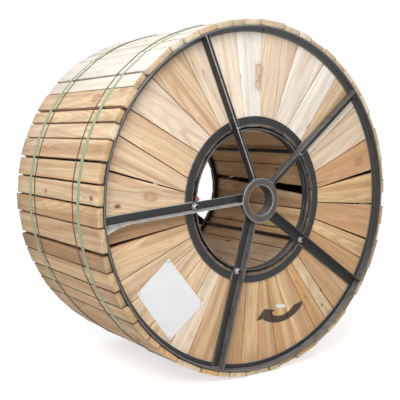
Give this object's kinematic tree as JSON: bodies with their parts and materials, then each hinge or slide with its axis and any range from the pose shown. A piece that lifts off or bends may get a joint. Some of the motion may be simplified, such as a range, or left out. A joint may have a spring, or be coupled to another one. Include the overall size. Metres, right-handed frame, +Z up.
{
  "type": "wooden cable drum",
  "caption": "Cable drum with steel-framed wooden flanges, a hollow stave barrel, arbor hubs, axial lagging battens and bindings, lying on its side.",
  "frame": {"origin": "middle of the drum on the axis of the arbor bore", "axes": "+Y along the arbor bore, away from the front flange; +Z up; +X to the right seen from the front"},
  "size_m": [1.2477, 0.708, 1.2485],
  "materials": {
    "steel_paint": "satin",
    "hub_steel": "worn",
    "bright_steel": "zinc",
    "board_wood": "sawn",
    "stave_wood": "sawn",
    "batten_wood": "sawn",
    "strap_plastic": "satin",
    "wire_steel": "dark"
  },
  "bodies": {
    "root": {"front_rim": "steel_paint", "front_inner_ring": "steel_paint", "front_barrel_ring": "steel_paint", "front_spoke_1": "steel_paint", "front_spoke_2": "steel_paint", "front_spoke_3": "steel_paint", "front_spoke_4": "steel_paint", "front_spoke_5": "steel_paint", "back_rim": "steel_paint", "back_inner_ring": "steel_paint", "back_barrel_ring": "steel_paint", "back_spoke_1": "steel_paint", "back_spoke_2": "steel_paint", "back_spoke_3": "steel_paint", "back_spoke_4": "steel_paint", "back_spoke_5": "steel_paint", "front_sleeve": "steel_paint", "front_hub": "hub_steel", "front_nuts": "bright_steel", "front_boards_1": "board_wood", "front_boards_2": "board_wood", "front_boards_3": "board_wood", "front_boards_4": "board_wood", "front_boards_5": "board_wood", "back_hub": "hub_steel", "back_nuts": "bright_steel", "back_boards_1": "board_wood", "back_boards_2": "board_wood", "back_boards_3": "board_wood", "back_boards_4": "board_wood", "back_boards_5": "board_wood", "tie_rods": "bright_steel", "staves": "stave_wood", "battens_top": "batten_wood", "battens_left": "batten_wood", "battens_bottom": "batten_wood", "battens_right": "batten_wood", "strap_front": "strap_plastic", "strap_back": "strap_plastic", "wire_front": "wire_steel", "wire_back": "wire_steel"}
  },
  "joints": []
}
